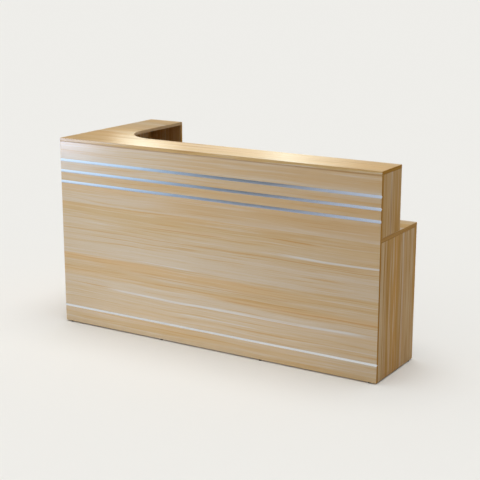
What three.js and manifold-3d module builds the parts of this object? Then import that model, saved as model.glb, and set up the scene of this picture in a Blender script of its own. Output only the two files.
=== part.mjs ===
// Reception desk: an L-shaped desk of oak laminate boards with a raised counter,
// aluminium strips let into the front, cable grommets and levelling feet.
//
// Millimetres, +Z up. The front looks along -Y and the return runs back along the left.
// The origin is on the floor, under the middle of the desk.

import * as THREE from 'three';
import { mergeVertices } from 'three/addons/utils/BufferGeometryUtils.js';
import Module from 'manifold-3d';

const wasm = await Module();
wasm.setup();

// Overall sizes
const LENGTH = 2000;
const HEIGHT = 1085;
const RETURN_LENGTH = 880;
const FLOOR_GAP = 6;

// Counter
const COUNTER_THICK = 18;
const COUNTER_DEPTH = 230;
const COUNTER_RETURN_WIDTH = 235;
const COUNTER_INNER_RADIUS = 235;

// Worktop
const WORKTOP_HEIGHT = 750;
const WORKTOP_THICK = 22;
const WORKTOP_DEPTH = 445;
const WORKTOP_RETURN_WIDTH = 445;
const WORKTOP_INNER_RADIUS = 200;

// Boards and their edges
const BOARD = 18;
const BOARD_ARRIS = 1.2;
const TOP_ARRIS = 2;
const EDGE_BAND = 2;
const SEAM = 0.3;

// Support panel under the worktop and divider under the counter
const SUPPORT_X = 210;
const SUPPORT_DEPTH = 300;
const DIVIDER_SETBACK = 20;
const CABLE_NOTCH = 64;
const CABLE_NOTCH_RADIUS = 24;

// Aluminium strips: a crowned head in a rebate and a barbed stem in a saw kerf
const UPPER_STRIP_COUNT = 3;
const UPPER_STRIP_DROP = 107;
const UPPER_STRIP_PITCH = 62;
const UPPER_STRIP_WIDTH = 15;
const TOE_STRIP_HEIGHT = 101;
const TOE_STRIP_WIDTH = 12;
const STRIP_HEAD_THICK = 1.6;
const STRIP_PROUD = 0.6;
const STRIP_CROWN = 0.4;
const STRIP_STEM_THICK = 2;
const STRIP_STEM_LENGTH = 8;
const STRIP_BARB = 0.5;
const STRIP_BARB_COUNT = 2;
const STRIP_BARB_PITCH = 2.6;

// Angle brackets
const BRACKET_LEG = 40;
const BRACKET_WIDTH = 32;
const BRACKET_THICK = 2.5;
const BRACKET_BEND = 2;
const BRACKET_HOLE_RADIUS = 2.6;
const BRACKET_HOLE_PITCH = 16;
const BRACKET_HOLE_EDGE = 12;
const BRACKETS_PER_BAY = 2;
const BRACKETS_ON_RETURN = 2;

// Cable grommets
const GROMMET_HOLE_RADIUS = 30;
const GROMMET_FLANGE = 5;
const GROMMET_FLANGE_THICK = 3;
const GROMMET_WALL = 2;
const GROMMET_LEDGE = 2;
const GROMMET_DEPTH = 18;
const GROMMET_SETBACK = 75;
const CAP_THICK = 2;
const CAP_LIP_DEPTH = 7;
const CAP_LIP_WALL = 1.6;
const CABLE_MOUTH_WIDTH = 20;
const CABLE_MOUTH_DEPTH = 16;

// Levelling feet
const FOOT_PAD_RADIUS = 8.5;
const FOOT_PAD_THICK = 4;
const FOOT_PAD_EDGE = 1;
const FOOT_STEM_RADIUS = 4;
const FOOT_STEM_LENGTH = 30;
const FOOT_RISE = 1.5;
const FOOT_INSET = 40;
const FRONT_FOOT_COUNT = 4;
const INSERT_WALL = 1.4;
const INSERT_LENGTH = 25;
const INSERT_FLANGE = 2;
const INSERT_FLANGE_THICK = 1.2;
const THREAD_CLEARANCE = 0.35;
const BORE_END_PLAY = 3;

// Smoothness of round forms
const ARRIS_STEPS = 2;
const CORNER_STEPS = 12;
const CROWN_STEPS = 4;
const GROMMET_SIDES = 32;
const FOOT_SIDES = 16;
const HOLE_SIDES = 8;

// Overshoot of a cutting tool past the face it cuts
const OVERCUT = 5;

// Places worked out from the sizes above
const LEFT = -LENGTH / 2;
const RIGHT = LENGTH / 2;
const COUNTER_UNDERSIDE = HEIGHT - COUNTER_THICK;
const WORKTOP_UNDERSIDE = WORKTOP_HEIGHT - WORKTOP_THICK;
const INNER_FRONT = BOARD + SEAM;
const INNER_LEFT = LEFT + BOARD + SEAM;
const INNER_RIGHT = RIGHT - BOARD;
const RETURN_END_FRONT = RETURN_LENGTH - BOARD;
const FULL_BOARD_HEIGHT = COUNTER_UNDERSIDE - SEAM - FLOOR_GAP;
const LOWER_BOARD_HEIGHT = WORKTOP_UNDERSIDE - SEAM - FLOOR_GAP;
const UPPER_BOARD_BASE = WORKTOP_HEIGHT + SEAM;
const UPPER_BOARD_HEIGHT = COUNTER_UNDERSIDE - SEAM - UPPER_BOARD_BASE;

// Finishes: each piece gets a material of its own
const finish = (look) => () => new THREE.MeshStandardMaterial(look);
const oakLaminate = finish({ color: 0xbd9c70, roughness: 0.42, metalness: 0 });
const oakEdge = finish({ color: 0xab8a60, roughness: 0.5, metalness: 0 });
const brushedAluminium = finish({ color: 0xb9c2cc, roughness: 0.3, metalness: 1 });
const zincSteel = finish({ color: 0xa9abad, roughness: 0.45, metalness: 1 });
const blackPlastic = finish({ color: 0x2b2a29, roughness: 0.55, metalness: 0 });

// Solids: closed meshes joined and cut
function toSolid(geometry) {
  const bare = geometry.clone();
  bare.deleteAttribute('normal');
  bare.deleteAttribute('uv');
  const welded = mergeVertices(bare);
  const vertProperties = new Float32Array(welded.attributes.position.array);
  const triVerts = new Uint32Array(welded.index.array);
  return new wasm.Manifold(new wasm.Mesh({ numProp: 3, vertProperties, triVerts }));
}

function toGeometry(solid) {
  const { vertProperties, triVerts } = solid.getMesh();
  const geometry = new THREE.BufferGeometry();
  geometry.setAttribute('position', new THREE.BufferAttribute(vertProperties, 3));
  geometry.setIndex(new THREE.BufferAttribute(triVerts, 1));
  geometry.computeVertexNormals();
  return geometry;
}

function cut(geometry, tools) {
  const whole = tools.reduce((solid, tool) => solid.subtract(toSolid(tool)), toSolid(geometry));
  return toGeometry(whole);
}

// Evenly spaced places between two ends, half a step in from each
function spread(from, to, count) {
  const step = (to - from) / count;
  return Array.from({ length: count }, (_, i) => from + (i + 0.5) * step);
}

// Evenly spaced places that include both ends
function spanned(from, to, count) {
  const step = (to - from) / (count - 1);
  return Array.from({ length: count }, (_, i) => from + i * step);
}

// Plate: an outline made thick along +Z with softened arrises, within its outline and thickness
function plate(outline, thick, arris) {
  const geometry = new THREE.ExtrudeGeometry(outline, {
    depth: thick - 2 * arris,
    bevelThickness: arris,
    bevelSize: arris,
    bevelOffset: -arris,
    bevelSegments: ARRIS_STEPS,
    curveSegments: CORNER_STEPS,
  });
  return geometry.translate(0, 0, arris);
}

function prism(outline, from, to) {
  const options = { depth: to - from, bevelEnabled: false, curveSegments: CORNER_STEPS };
  return new THREE.ExtrudeGeometry(outline, options).translate(0, 0, from);
}

function rectangle(width, height) {
  const outline = new THREE.Shape();
  outline.moveTo(0, 0);
  outline.lineTo(width, 0);
  outline.lineTo(width, height);
  outline.lineTo(0, height);
  outline.closePath();
  return outline;
}

// Ways that a piece stands: its outline faces the front or the right-hand side, or a strip lies along
// the front. A round piece faces the front too, which stands its axis upright.
function standing(across, up, through) {
  const basis = new THREE.Matrix4().makeBasis(across, up, through);
  return new THREE.Quaternion().setFromRotationMatrix(basis);
}
const ALONG_X = new THREE.Vector3(1, 0, 0);
const ALONG_Y = new THREE.Vector3(0, 1, 0);
const ALONG_Z = new THREE.Vector3(0, 0, 1);
const FACING_FRONT = standing(ALONG_X, ALONG_Z, ALONG_Y.clone().negate());
const FACING_RIGHT = standing(ALONG_Y, ALONG_Z, ALONG_X);
const STRIP_LYING = standing(ALONG_Y.clone().negate(), ALONG_Z, ALONG_X.clone().negate());

const desk = new THREE.Group();
desk.position.y = -(RETURN_LENGTH - STRIP_PROUD) / 2;

function place(name, geometry, material, position, turn = new THREE.Quaternion()) {
  const mesh = new THREE.Mesh(geometry, material);
  mesh.name = name;
  mesh.position.set(...position);
  mesh.quaternion.copy(turn);
  desk.add(mesh);
}

// Tops: an L-shaped plate whose free inner edge takes a bent edge band
function lOutline(size) {
  const centreX = size.innerX + size.radius;
  const centreY = size.innerY + size.radius;
  const outline = new THREE.Shape();
  outline.moveTo(size.left, size.front);
  outline.lineTo(RIGHT, size.front);
  outline.lineTo(RIGHT, size.innerY);
  outline.lineTo(centreX, size.innerY);
  outline.absarc(centreX, centreY, size.radius, -Math.PI / 2, -Math.PI, true);
  outline.lineTo(size.innerX, RETURN_LENGTH);
  outline.lineTo(size.left, RETURN_LENGTH);
  outline.closePath();
  return outline;
}

// Room inside the L, grown into the top by the given amount
function innerRoom(size, grown) {
  const centreX = size.innerX + size.radius;
  const centreY = size.innerY + size.radius;
  const farX = RIGHT + OVERCUT;
  const farY = RETURN_LENGTH + OVERCUT;
  const outline = new THREE.Shape();
  outline.moveTo(farX, farY);
  outline.lineTo(size.innerX - grown, farY);
  outline.absarc(centreX, centreY, size.radius + grown, Math.PI, 1.5 * Math.PI, false);
  outline.lineTo(farX, size.innerY - grown);
  outline.closePath();
  return outline;
}

function bandedTop(size, holes) {
  const whole = toSolid(plate(lOutline(size), size.thick, TOP_ARRIS));
  const bandRoom = toSolid(prism(innerRoom(size, EDGE_BAND - SEAM), -OVERCUT, size.thick + OVERCUT));
  const boardRoom = toSolid(prism(innerRoom(size, EDGE_BAND), -OVERCUT, size.thick + OVERCUT));
  const board = holes.reduce((solid, hole) => solid.subtract(toSolid(hole)), whole.subtract(boardRoom));
  return { board: toGeometry(board), band: toGeometry(whole.intersect(bandRoom)) };
}

const counterSize = {
  left: LEFT,
  front: 0,
  innerX: LEFT + COUNTER_RETURN_WIDTH,
  innerY: COUNTER_DEPTH,
  radius: COUNTER_INNER_RADIUS,
  thick: COUNTER_THICK,
};
const counter = bandedTop(counterSize, []);
place('counter_top', counter.board, oakLaminate(), [0, 0, COUNTER_UNDERSIDE]);
place('counter_edge_band', counter.band, oakEdge(), [0, 0, COUNTER_UNDERSIDE]);

// Grommets stand in the long bay beside the support panel, and on the return
const grommetPlaces = [
  [(SUPPORT_X + INNER_RIGHT) / 2, INNER_FRONT + GROMMET_SETBACK],
  [INNER_LEFT + GROMMET_SETBACK, (WORKTOP_DEPTH + RETURN_END_FRONT) / 2],
];

function grommetHole([x, y]) {
  const height = WORKTOP_THICK + 2 * OVERCUT;
  const hole = new THREE.CylinderGeometry(GROMMET_HOLE_RADIUS, GROMMET_HOLE_RADIUS, height, GROMMET_SIDES);
  return hole.rotateX(Math.PI / 2).translate(x, y, WORKTOP_THICK / 2);
}

const worktopSize = {
  left: INNER_LEFT,
  front: INNER_FRONT,
  innerX: LEFT + WORKTOP_RETURN_WIDTH,
  innerY: WORKTOP_DEPTH,
  radius: WORKTOP_INNER_RADIUS,
  thick: WORKTOP_THICK,
};
const worktop = bandedTop(worktopSize, grommetPlaces.map(grommetHole));
place('worktop', worktop.board, oakLaminate(), [0, 0, WORKTOP_UNDERSIDE]);
place('worktop_edge_band', worktop.band, oakEdge(), [0, 0, WORKTOP_UNDERSIDE]);

// Levelling feet: a bore in a board's lower edge holds a threaded insert, and the foot's stem runs in it
const INSERT_BORE = FOOT_STEM_RADIUS + THREAD_CLEARANCE;
const INSERT_RADIUS = INSERT_BORE + INSERT_WALL;
const INSERT_FLANGE_RADIUS = INSERT_RADIUS + INSERT_FLANGE;
const STEM_TOP = FOOT_PAD_THICK + FOOT_STEM_LENGTH;
const BORE_DEPTH = Math.max(INSERT_LENGTH, STEM_TOP + FOOT_RISE - FLOOR_GAP) + BORE_END_PLAY;

// The bore and the seat for the insert's flange, on a board whose outline stands along X and Y
function footBore(x) {
  const boreRadius = INSERT_RADIUS + SEAM;
  const seatRadius = INSERT_FLANGE_RADIUS + SEAM;
  const seatDepth = INSERT_FLANGE_THICK + SEAM;
  const bore = new THREE.CylinderGeometry(boreRadius, boreRadius, BORE_DEPTH + OVERCUT, FOOT_SIDES);
  const seat = new THREE.CylinderGeometry(seatRadius, seatRadius, seatDepth + OVERCUT, FOOT_SIDES);
  return [
    bore.translate(x, (BORE_DEPTH - OVERCUT) / 2, BOARD / 2),
    seat.translate(x, (seatDepth - OVERCUT) / 2, BOARD / 2),
  ];
}

function revolved(points, sides) {
  const profile = points.map(([radius, height]) => new THREE.Vector2(radius, height));
  return new THREE.LatheGeometry(profile, sides);
}

function footGeometry() {
  return revolved([
    [0, 0],
    [FOOT_PAD_RADIUS - FOOT_PAD_EDGE, 0],
    [FOOT_PAD_RADIUS, FOOT_PAD_EDGE],
    [FOOT_PAD_RADIUS, FOOT_PAD_THICK - FOOT_PAD_EDGE],
    [FOOT_PAD_RADIUS - FOOT_PAD_EDGE, FOOT_PAD_THICK],
    [FOOT_STEM_RADIUS, FOOT_PAD_THICK],
    [FOOT_STEM_RADIUS, STEM_TOP - FOOT_PAD_EDGE],
    [FOOT_STEM_RADIUS - FOOT_PAD_EDGE, STEM_TOP],
    [0, STEM_TOP],
  ], FOOT_SIDES);
}

function insertGeometry() {
  return revolved([
    [INSERT_BORE, 0],
    [INSERT_FLANGE_RADIUS, 0],
    [INSERT_FLANGE_RADIUS, INSERT_FLANGE_THICK],
    [INSERT_RADIUS, INSERT_FLANGE_THICK],
    [INSERT_RADIUS, INSERT_LENGTH],
    [INSERT_BORE, INSERT_LENGTH],
    [INSERT_BORE, 0],
  ], FOOT_SIDES);
}

// Middle of each foot, which every board on the floor adds to
const footPlaces = [];

// Boards: an upright board's outline starts at its lower corner
function frontFacing(name, geometry, x, y, z) {
  place(name, geometry, oakLaminate(), [x, y + BOARD, z], FACING_FRONT);
}

function sideFacing(name, geometry, x, y, z) {
  place(name, geometry, oakLaminate(), [x, y, z], FACING_RIGHT);
}

function boredBoard(outline, bores) {
  return cut(plate(outline, BOARD, BOARD_ARRIS), bores.flatMap(footBore));
}

// Strips let into the front panel
const strips = Array.from({ length: UPPER_STRIP_COUNT }, (_, i) => ({
  name: `trim_strip_upper_${i + 1}`,
  height: COUNTER_UNDERSIDE - UPPER_STRIP_DROP - i * UPPER_STRIP_PITCH,
  width: UPPER_STRIP_WIDTH,
}));
strips.push({ name: 'trim_strip_toe', height: TOE_STRIP_HEIGHT, width: TOE_STRIP_WIDTH });

// Depth of the rebate under a strip's head, and of the kerf that takes its stem
const REBATE_DEPTH = STRIP_HEAD_THICK - STRIP_PROUD + SEAM;
const KERF_DEPTH = REBATE_DEPTH + STRIP_STEM_LENGTH + SEAM;
const KERF_WIDTH = STRIP_STEM_THICK + 2 * (STRIP_BARB + SEAM);

function groove(strip) {
  const slot = (width, depth) => new THREE.BoxGeometry(LENGTH + 2 * OVERCUT, width, depth + OVERCUT)
    .translate(LENGTH / 2, strip.height - FLOOR_GAP, BOARD - (depth - OVERCUT) / 2);
  return [slot(strip.width + 2 * SEAM, REBATE_DEPTH), slot(KERF_WIDTH, KERF_DEPTH)];
}

// Section of a strip: X points out of the panel from its face, Y up
function stripSection(width) {
  const half = width / 2;
  const stem = STRIP_STEM_THICK / 2;
  const face = STRIP_PROUD - STRIP_CROWN;
  const head = STRIP_PROUD - STRIP_HEAD_THICK;
  const section = new THREE.Shape();
  section.moveTo(head, -half);
  section.lineTo(face, -half);
  section.quadraticCurveTo(STRIP_PROUD + STRIP_CROWN, 0, face, half);
  section.lineTo(head, half);
  section.lineTo(head, stem);
  for (let i = 0; i < STRIP_BARB_COUNT; i += 1) {
    const root = head - (i + 1) * STRIP_BARB_PITCH;
    section.lineTo(root + STRIP_BARB, stem);
    section.lineTo(root, stem + STRIP_BARB);
    section.lineTo(root - STRIP_BARB, stem);
  }
  section.lineTo(head - STRIP_STEM_LENGTH, stem);
  section.lineTo(head - STRIP_STEM_LENGTH, -stem);
  for (let i = STRIP_BARB_COUNT; i > 0; i -= 1) {
    const root = head - i * STRIP_BARB_PITCH;
    section.lineTo(root - STRIP_BARB, -stem);
    section.lineTo(root, -stem - STRIP_BARB);
    section.lineTo(root + STRIP_BARB, -stem);
  }
  section.lineTo(head, -stem);
  section.closePath();
  return section;
}

for (const strip of strips) {
  const options = { depth: LENGTH, bevelEnabled: false, curveSegments: CROWN_STEPS };
  const length = new THREE.ExtrudeGeometry(stripSection(strip.width), options);
  place(strip.name, length, brushedAluminium(), [RIGHT, 0, strip.height], STRIP_LYING);
}

// Front panel
const frontFeet = spanned(FOOT_INSET, LENGTH - FOOT_INSET, FRONT_FOOT_COUNT);
const frontBlank = plate(rectangle(LENGTH, FULL_BOARD_HEIGHT), BOARD, BOARD_ARRIS);
const frontPanel = cut(frontBlank, [...strips.flatMap(groove), ...frontFeet.flatMap(footBore)]);
frontFacing('front_panel', frontPanel, LEFT, 0, FLOOR_GAP);
footPlaces.push(...frontFeet.map((x) => [LEFT + x, BOARD / 2]));

// Left side panel, which carries the return
const leftDepth = RETURN_LENGTH - INNER_FRONT;
const leftFeet = [leftDepth / 2, leftDepth - FOOT_INSET];
const leftPanel = boredBoard(rectangle(leftDepth, FULL_BOARD_HEIGHT), leftFeet);
sideFacing('left_side_panel', leftPanel, LEFT, INNER_FRONT, FLOOR_GAP);
footPlaces.push(...leftFeet.map((y) => [LEFT + BOARD / 2, INNER_FRONT + y]));

// Right end panels, above and below the worktop
const rightUpper = plate(rectangle(COUNTER_DEPTH - INNER_FRONT, UPPER_BOARD_HEIGHT), BOARD, BOARD_ARRIS);
sideFacing('right_end_panel_upper', rightUpper, INNER_RIGHT, INNER_FRONT, UPPER_BOARD_BASE);
const rightDepth = WORKTOP_DEPTH - INNER_FRONT;
const rightFoot = rightDepth - FOOT_INSET;
const rightLower = boredBoard(rectangle(rightDepth, LOWER_BOARD_HEIGHT), [rightFoot]);
sideFacing('right_end_panel_lower', rightLower, INNER_RIGHT, INNER_FRONT, FLOOR_GAP);
footPlaces.push([INNER_RIGHT + BOARD / 2, INNER_FRONT + rightFoot]);

// Return end panels, above and below the worktop
const returnUpperWidth = LEFT + COUNTER_RETURN_WIDTH - INNER_LEFT;
const returnUpper = plate(rectangle(returnUpperWidth, UPPER_BOARD_HEIGHT), BOARD, BOARD_ARRIS);
frontFacing('return_end_panel_upper', returnUpper, INNER_LEFT, RETURN_END_FRONT, UPPER_BOARD_BASE);
const returnLowerWidth = LEFT + WORKTOP_RETURN_WIDTH - INNER_LEFT;
const returnFoot = returnLowerWidth - FOOT_INSET;
const returnLower = boredBoard(rectangle(returnLowerWidth, LOWER_BOARD_HEIGHT), [returnFoot]);
frontFacing('return_end_panel_lower', returnLower, INNER_LEFT, RETURN_END_FRONT, FLOOR_GAP);
footPlaces.push([INNER_LEFT + returnFoot, RETURN_END_FRONT + BOARD / 2]);

// Support panel and divider, each with a rounded notch for cables beside the front panel
function notchedOutline(width, height, notchAtTop) {
  const away = notchAtTop ? 0 : height;
  const near = notchAtTop ? height : 0;
  const inward = notchAtTop ? -1 : 1;
  const bend = CABLE_NOTCH - CABLE_NOTCH_RADIUS;
  const outline = new THREE.Shape();
  outline.moveTo(0, away);
  outline.lineTo(width, away);
  outline.lineTo(width, near);
  outline.lineTo(CABLE_NOTCH, near);
  outline.absarc(bend, near + inward * bend, CABLE_NOTCH_RADIUS, 0, inward * Math.PI / 2, notchAtTop);
  outline.lineTo(0, near + inward * CABLE_NOTCH);
  outline.closePath();
  return outline;
}

const supportX = SUPPORT_X - BOARD / 2;
const supportFoot = SUPPORT_DEPTH - FOOT_INSET;
const support = boredBoard(notchedOutline(SUPPORT_DEPTH, LOWER_BOARD_HEIGHT, true), [supportFoot]);
sideFacing('support_panel', support, supportX, INNER_FRONT, FLOOR_GAP);
footPlaces.push([SUPPORT_X, INNER_FRONT + supportFoot]);

const dividerDepth = COUNTER_DEPTH - DIVIDER_SETBACK - INNER_FRONT;
const divider = plate(notchedOutline(dividerDepth, UPPER_BOARD_HEIGHT, false), BOARD, BOARD_ARRIS);
sideFacing('counter_divider', divider, supportX, INNER_FRONT, UPPER_BOARD_BASE);

// Angle brackets: one leg under a top, the other against an upright board
function bracketGeometry() {
  const bend = BRACKET_THICK + BRACKET_BEND;
  const section = new THREE.Shape();
  section.moveTo(0, -BRACKET_LEG);
  section.lineTo(BRACKET_THICK, -BRACKET_LEG);
  section.lineTo(BRACKET_THICK, -bend);
  section.absarc(bend, -bend, BRACKET_BEND, Math.PI, Math.PI / 2, true);
  section.lineTo(BRACKET_LEG, -BRACKET_THICK);
  section.lineTo(BRACKET_LEG, 0);
  section.lineTo(bend, 0);
  section.absarc(bend, -bend, bend, Math.PI / 2, Math.PI, false);
  section.closePath();
  const options = { depth: BRACKET_WIDTH, bevelEnabled: false, curveSegments: ARRIS_STEPS };
  const angle = new THREE.ExtrudeGeometry(section, options).translate(0, 0, -BRACKET_WIDTH / 2);
  const reach = BRACKET_LEG - BRACKET_HOLE_EDGE;
  const hole = () => new THREE.CylinderGeometry(
    BRACKET_HOLE_RADIUS, BRACKET_HOLE_RADIUS, BRACKET_THICK + 2 * OVERCUT, HOLE_SIDES);
  const holes = [-BRACKET_HOLE_PITCH / 2, BRACKET_HOLE_PITCH / 2].flatMap((z) => [
    hole().translate(reach, -BRACKET_THICK / 2, z),
    hole().rotateZ(Math.PI / 2).translate(BRACKET_THICK / 2, -reach, z),
  ]);
  return cut(angle, holes);
}

// Each top is held to the front panel in both bays, and to the left panel along the return behind it
function addBrackets(name, underside, depth) {
  const z = underside - SEAM;
  const frontPlaces = [
    ...spread(INNER_LEFT, supportX, BRACKETS_PER_BAY),
    ...spread(supportX + BOARD, INNER_RIGHT, BRACKETS_PER_BAY),
  ];
  const leftPlaces = spread(depth, RETURN_END_FRONT, BRACKETS_ON_RETURN);
  frontPlaces.forEach((x, i) => {
    place(`${name}_front_${i + 1}`, bracketGeometry(), zincSteel(), [x, INNER_FRONT, z], FACING_RIGHT);
  });
  leftPlaces.forEach((y, i) => {
    place(`${name}_left_${i + 1}`, bracketGeometry(), zincSteel(), [INNER_LEFT, y, z], FACING_FRONT);
  });
}
addBrackets('worktop_bracket', WORKTOP_UNDERSIDE, WORKTOP_DEPTH);
addBrackets('counter_bracket', COUNTER_UNDERSIDE, COUNTER_DEPTH);

// Grommets: heights are counted from the worktop's upper face
const LINER_SLEEVE = GROMMET_HOLE_RADIUS - SEAM;
const LINER_BORE = LINER_SLEEVE - GROMMET_WALL;
const LINER_REBATE = LINER_BORE + GROMMET_LEDGE;
const LINER_TOP = SEAM + GROMMET_FLANGE_THICK;
const LEDGE_HEIGHT = LINER_TOP - CAP_THICK - SEAM;
const CAP_RADIUS = LINER_REBATE - SEAM;
const CAP_LIP_RADIUS = LINER_BORE - SEAM;

function linerGeometry() {
  const flange = GROMMET_HOLE_RADIUS + GROMMET_FLANGE;
  const chamfer = GROMMET_FLANGE_THICK / 2;
  return revolved([
    [LINER_BORE, -GROMMET_DEPTH],
    [LINER_SLEEVE, -GROMMET_DEPTH],
    [LINER_SLEEVE, SEAM],
    [flange, SEAM],
    [flange, LINER_TOP - chamfer],
    [flange - chamfer, LINER_TOP],
    [LINER_REBATE, LINER_TOP],
    [LINER_REBATE, LEDGE_HEIGHT],
    [LINER_BORE, LEDGE_HEIGHT],
    [LINER_BORE, -GROMMET_DEPTH],
  ], GROMMET_SIDES);
}

function capGeometry() {
  const seat = LEDGE_HEIGHT + SEAM;
  const lipInner = CAP_LIP_RADIUS - CAP_LIP_WALL;
  const disc = revolved([
    [0, seat],
    [lipInner, seat],
    [lipInner, seat - CAP_LIP_DEPTH],
    [CAP_LIP_RADIUS, seat - CAP_LIP_DEPTH],
    [CAP_LIP_RADIUS, seat],
    [CAP_RADIUS, seat],
    [CAP_RADIUS, LINER_TOP],
    [0, LINER_TOP],
  ], GROMMET_SIDES);
  const height = CAP_LIP_DEPTH + CAP_THICK + 2 * OVERCUT;
  const mouth = new THREE.BoxGeometry(CABLE_MOUTH_WIDTH, height, CABLE_MOUTH_DEPTH + OVERCUT);
  return cut(disc, [mouth.translate(0, seat, CAP_RADIUS - (CABLE_MOUTH_DEPTH - OVERCUT) / 2)]);
}

grommetPlaces.forEach(([x, y], i) => {
  const at = [x, y, WORKTOP_HEIGHT];
  place(`grommet_liner_${i + 1}`, linerGeometry(), blackPlastic(), at, FACING_FRONT);
  place(`grommet_cap_${i + 1}`, capGeometry(), blackPlastic(), at, FACING_FRONT);
});

footPlaces.forEach(([x, y], i) => {
  place(`foot_insert_${i + 1}`, insertGeometry(), zincSteel(), [x, y, FLOOR_GAP], FACING_FRONT);
  place(`levelling_foot_${i + 1}`, footGeometry(), blackPlastic(), [x, y, 0], FACING_FRONT);
});

export default desk;
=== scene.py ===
"""Reception desk in light oak laminate: its finishes, small fittings, studio and camera.

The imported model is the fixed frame. This script dresses its boards, strips, brackets,
grommets and feet, and models the fittings that are too small for the frame.
Metres, +Z up; the front looks along -Y and the return runs back along the left.
"""

import logging
import math
from collections.abc import Callable, Iterable, Sequence
from dataclasses import dataclass, field
from enum import Enum
from typing import Any

import bpy
from mathutils import Matrix, Vector


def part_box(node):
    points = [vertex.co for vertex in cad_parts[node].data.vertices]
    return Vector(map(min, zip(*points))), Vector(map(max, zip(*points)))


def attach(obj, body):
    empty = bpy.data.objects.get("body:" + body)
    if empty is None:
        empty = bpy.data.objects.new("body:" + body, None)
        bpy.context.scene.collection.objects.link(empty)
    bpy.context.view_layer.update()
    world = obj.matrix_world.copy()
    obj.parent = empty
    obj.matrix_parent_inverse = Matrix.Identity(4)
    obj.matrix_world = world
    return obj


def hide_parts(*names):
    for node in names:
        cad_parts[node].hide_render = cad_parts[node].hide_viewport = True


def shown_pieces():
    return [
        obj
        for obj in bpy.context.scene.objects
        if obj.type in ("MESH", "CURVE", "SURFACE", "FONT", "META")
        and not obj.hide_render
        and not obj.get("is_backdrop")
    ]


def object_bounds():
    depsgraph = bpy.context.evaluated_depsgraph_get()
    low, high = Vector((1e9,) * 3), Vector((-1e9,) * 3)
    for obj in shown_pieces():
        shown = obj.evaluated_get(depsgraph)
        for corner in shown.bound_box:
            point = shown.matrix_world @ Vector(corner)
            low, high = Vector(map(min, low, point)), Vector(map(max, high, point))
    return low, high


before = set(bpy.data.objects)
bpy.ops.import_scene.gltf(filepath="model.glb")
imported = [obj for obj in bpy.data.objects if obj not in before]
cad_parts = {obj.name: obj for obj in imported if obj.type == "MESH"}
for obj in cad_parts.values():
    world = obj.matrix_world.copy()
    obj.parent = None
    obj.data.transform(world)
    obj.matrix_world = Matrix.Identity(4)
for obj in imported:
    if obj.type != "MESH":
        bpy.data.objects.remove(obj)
CAD_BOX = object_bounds()

LOG = logging.getLogger("reception_desk")
MM = 0.001
LEVEL = 0.99  # a face whose normal has more of Z than this lies level
UPRIGHT = 0.1  # and one that has less stands upright
FRONT_LEFT_TOP = (CAD_BOX[0].x, CAD_BOX[0].y, CAD_BOX[1].z)

Colour = tuple[float, float, float, float]
Place = tuple[float, float, float]


def srgb(red: float, green: float, blue: float) -> Colour:
    """Turns display values into the linear colour that a shader takes.

    Args:
        red: Red from 0 to 255.
        green: Green from 0 to 255.
        blue: Blue from 0 to 255.

    Returns:
        The linear colour with full opacity.
    """
    def linear(value: float) -> float:
        """Undoes the display curve of one channel."""
        share = value / 255
        return share / 12.92 if share <= 0.04045 else ((share + 0.055) / 1.055) ** 2.4

    return (linear(red), linear(green), linear(blue), 1.0)


def both_ways(operation: str) -> tuple[Callable[..., "Wire"], Callable[..., "Wire"]]:
    """Makes an operator of a wire and its reflected form.

    Args:
        operation: The Math node's operation.

    Returns:
        The operator, and its form for a number on the left.
    """
    def forward(wire: "Wire", other: "Wire | float") -> "Wire":
        """Puts the wire first."""
        return wire.maths(operation, wire, other)

    def reflected(wire: "Wire", other: float) -> "Wire":
        """Puts the number first."""
        return wire.maths(operation, other, wire)

    return forward, reflected


class Wire:
    """A node's output that takes part in arithmetic, so that shader maths reads as maths."""

    __add__, __radd__ = both_ways("ADD")
    __sub__, __rsub__ = both_ways("SUBTRACT")
    __mul__, __rmul__ = both_ways("MULTIPLY")
    __truediv__, __rtruediv__ = both_ways("DIVIDE")

    def __init__(self, graph: "Graph", socket: bpy.types.NodeSocket) -> None:
        """Wraps one output socket of a graph."""
        self.graph = graph
        self.socket = socket

    def maths(self, operation: str, *terms: "Wire | float") -> "Wire":
        """Adds one Math node with these terms and gives its result."""
        return self.graph.node("ShaderNodeMath", {"operation": operation}, dict(enumerate(terms)))

    def __abs__(self) -> "Wire":
        """Gives the size without its sign."""
        return self.maths("ABSOLUTE", self)

    def above(self, low: float, high: float) -> "Wire":
        """Rises smoothly from 0 at low to 1 at high.

        Args:
            low: Where the rise starts.
            high: Where it ends.

        Returns:
            The smooth step.
        """
        return self.graph.node(
            "ShaderNodeMapRange", {"interpolation_type": "SMOOTHSTEP"},
            {"Value": self, "From Min": low, "From Max": high})


class Coordinates(Enum):
    """Which coordinates a pattern reads."""

    OBJECT = "Object"
    NORMAL = "Normal"
    GENERATED = "Generated"


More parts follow.
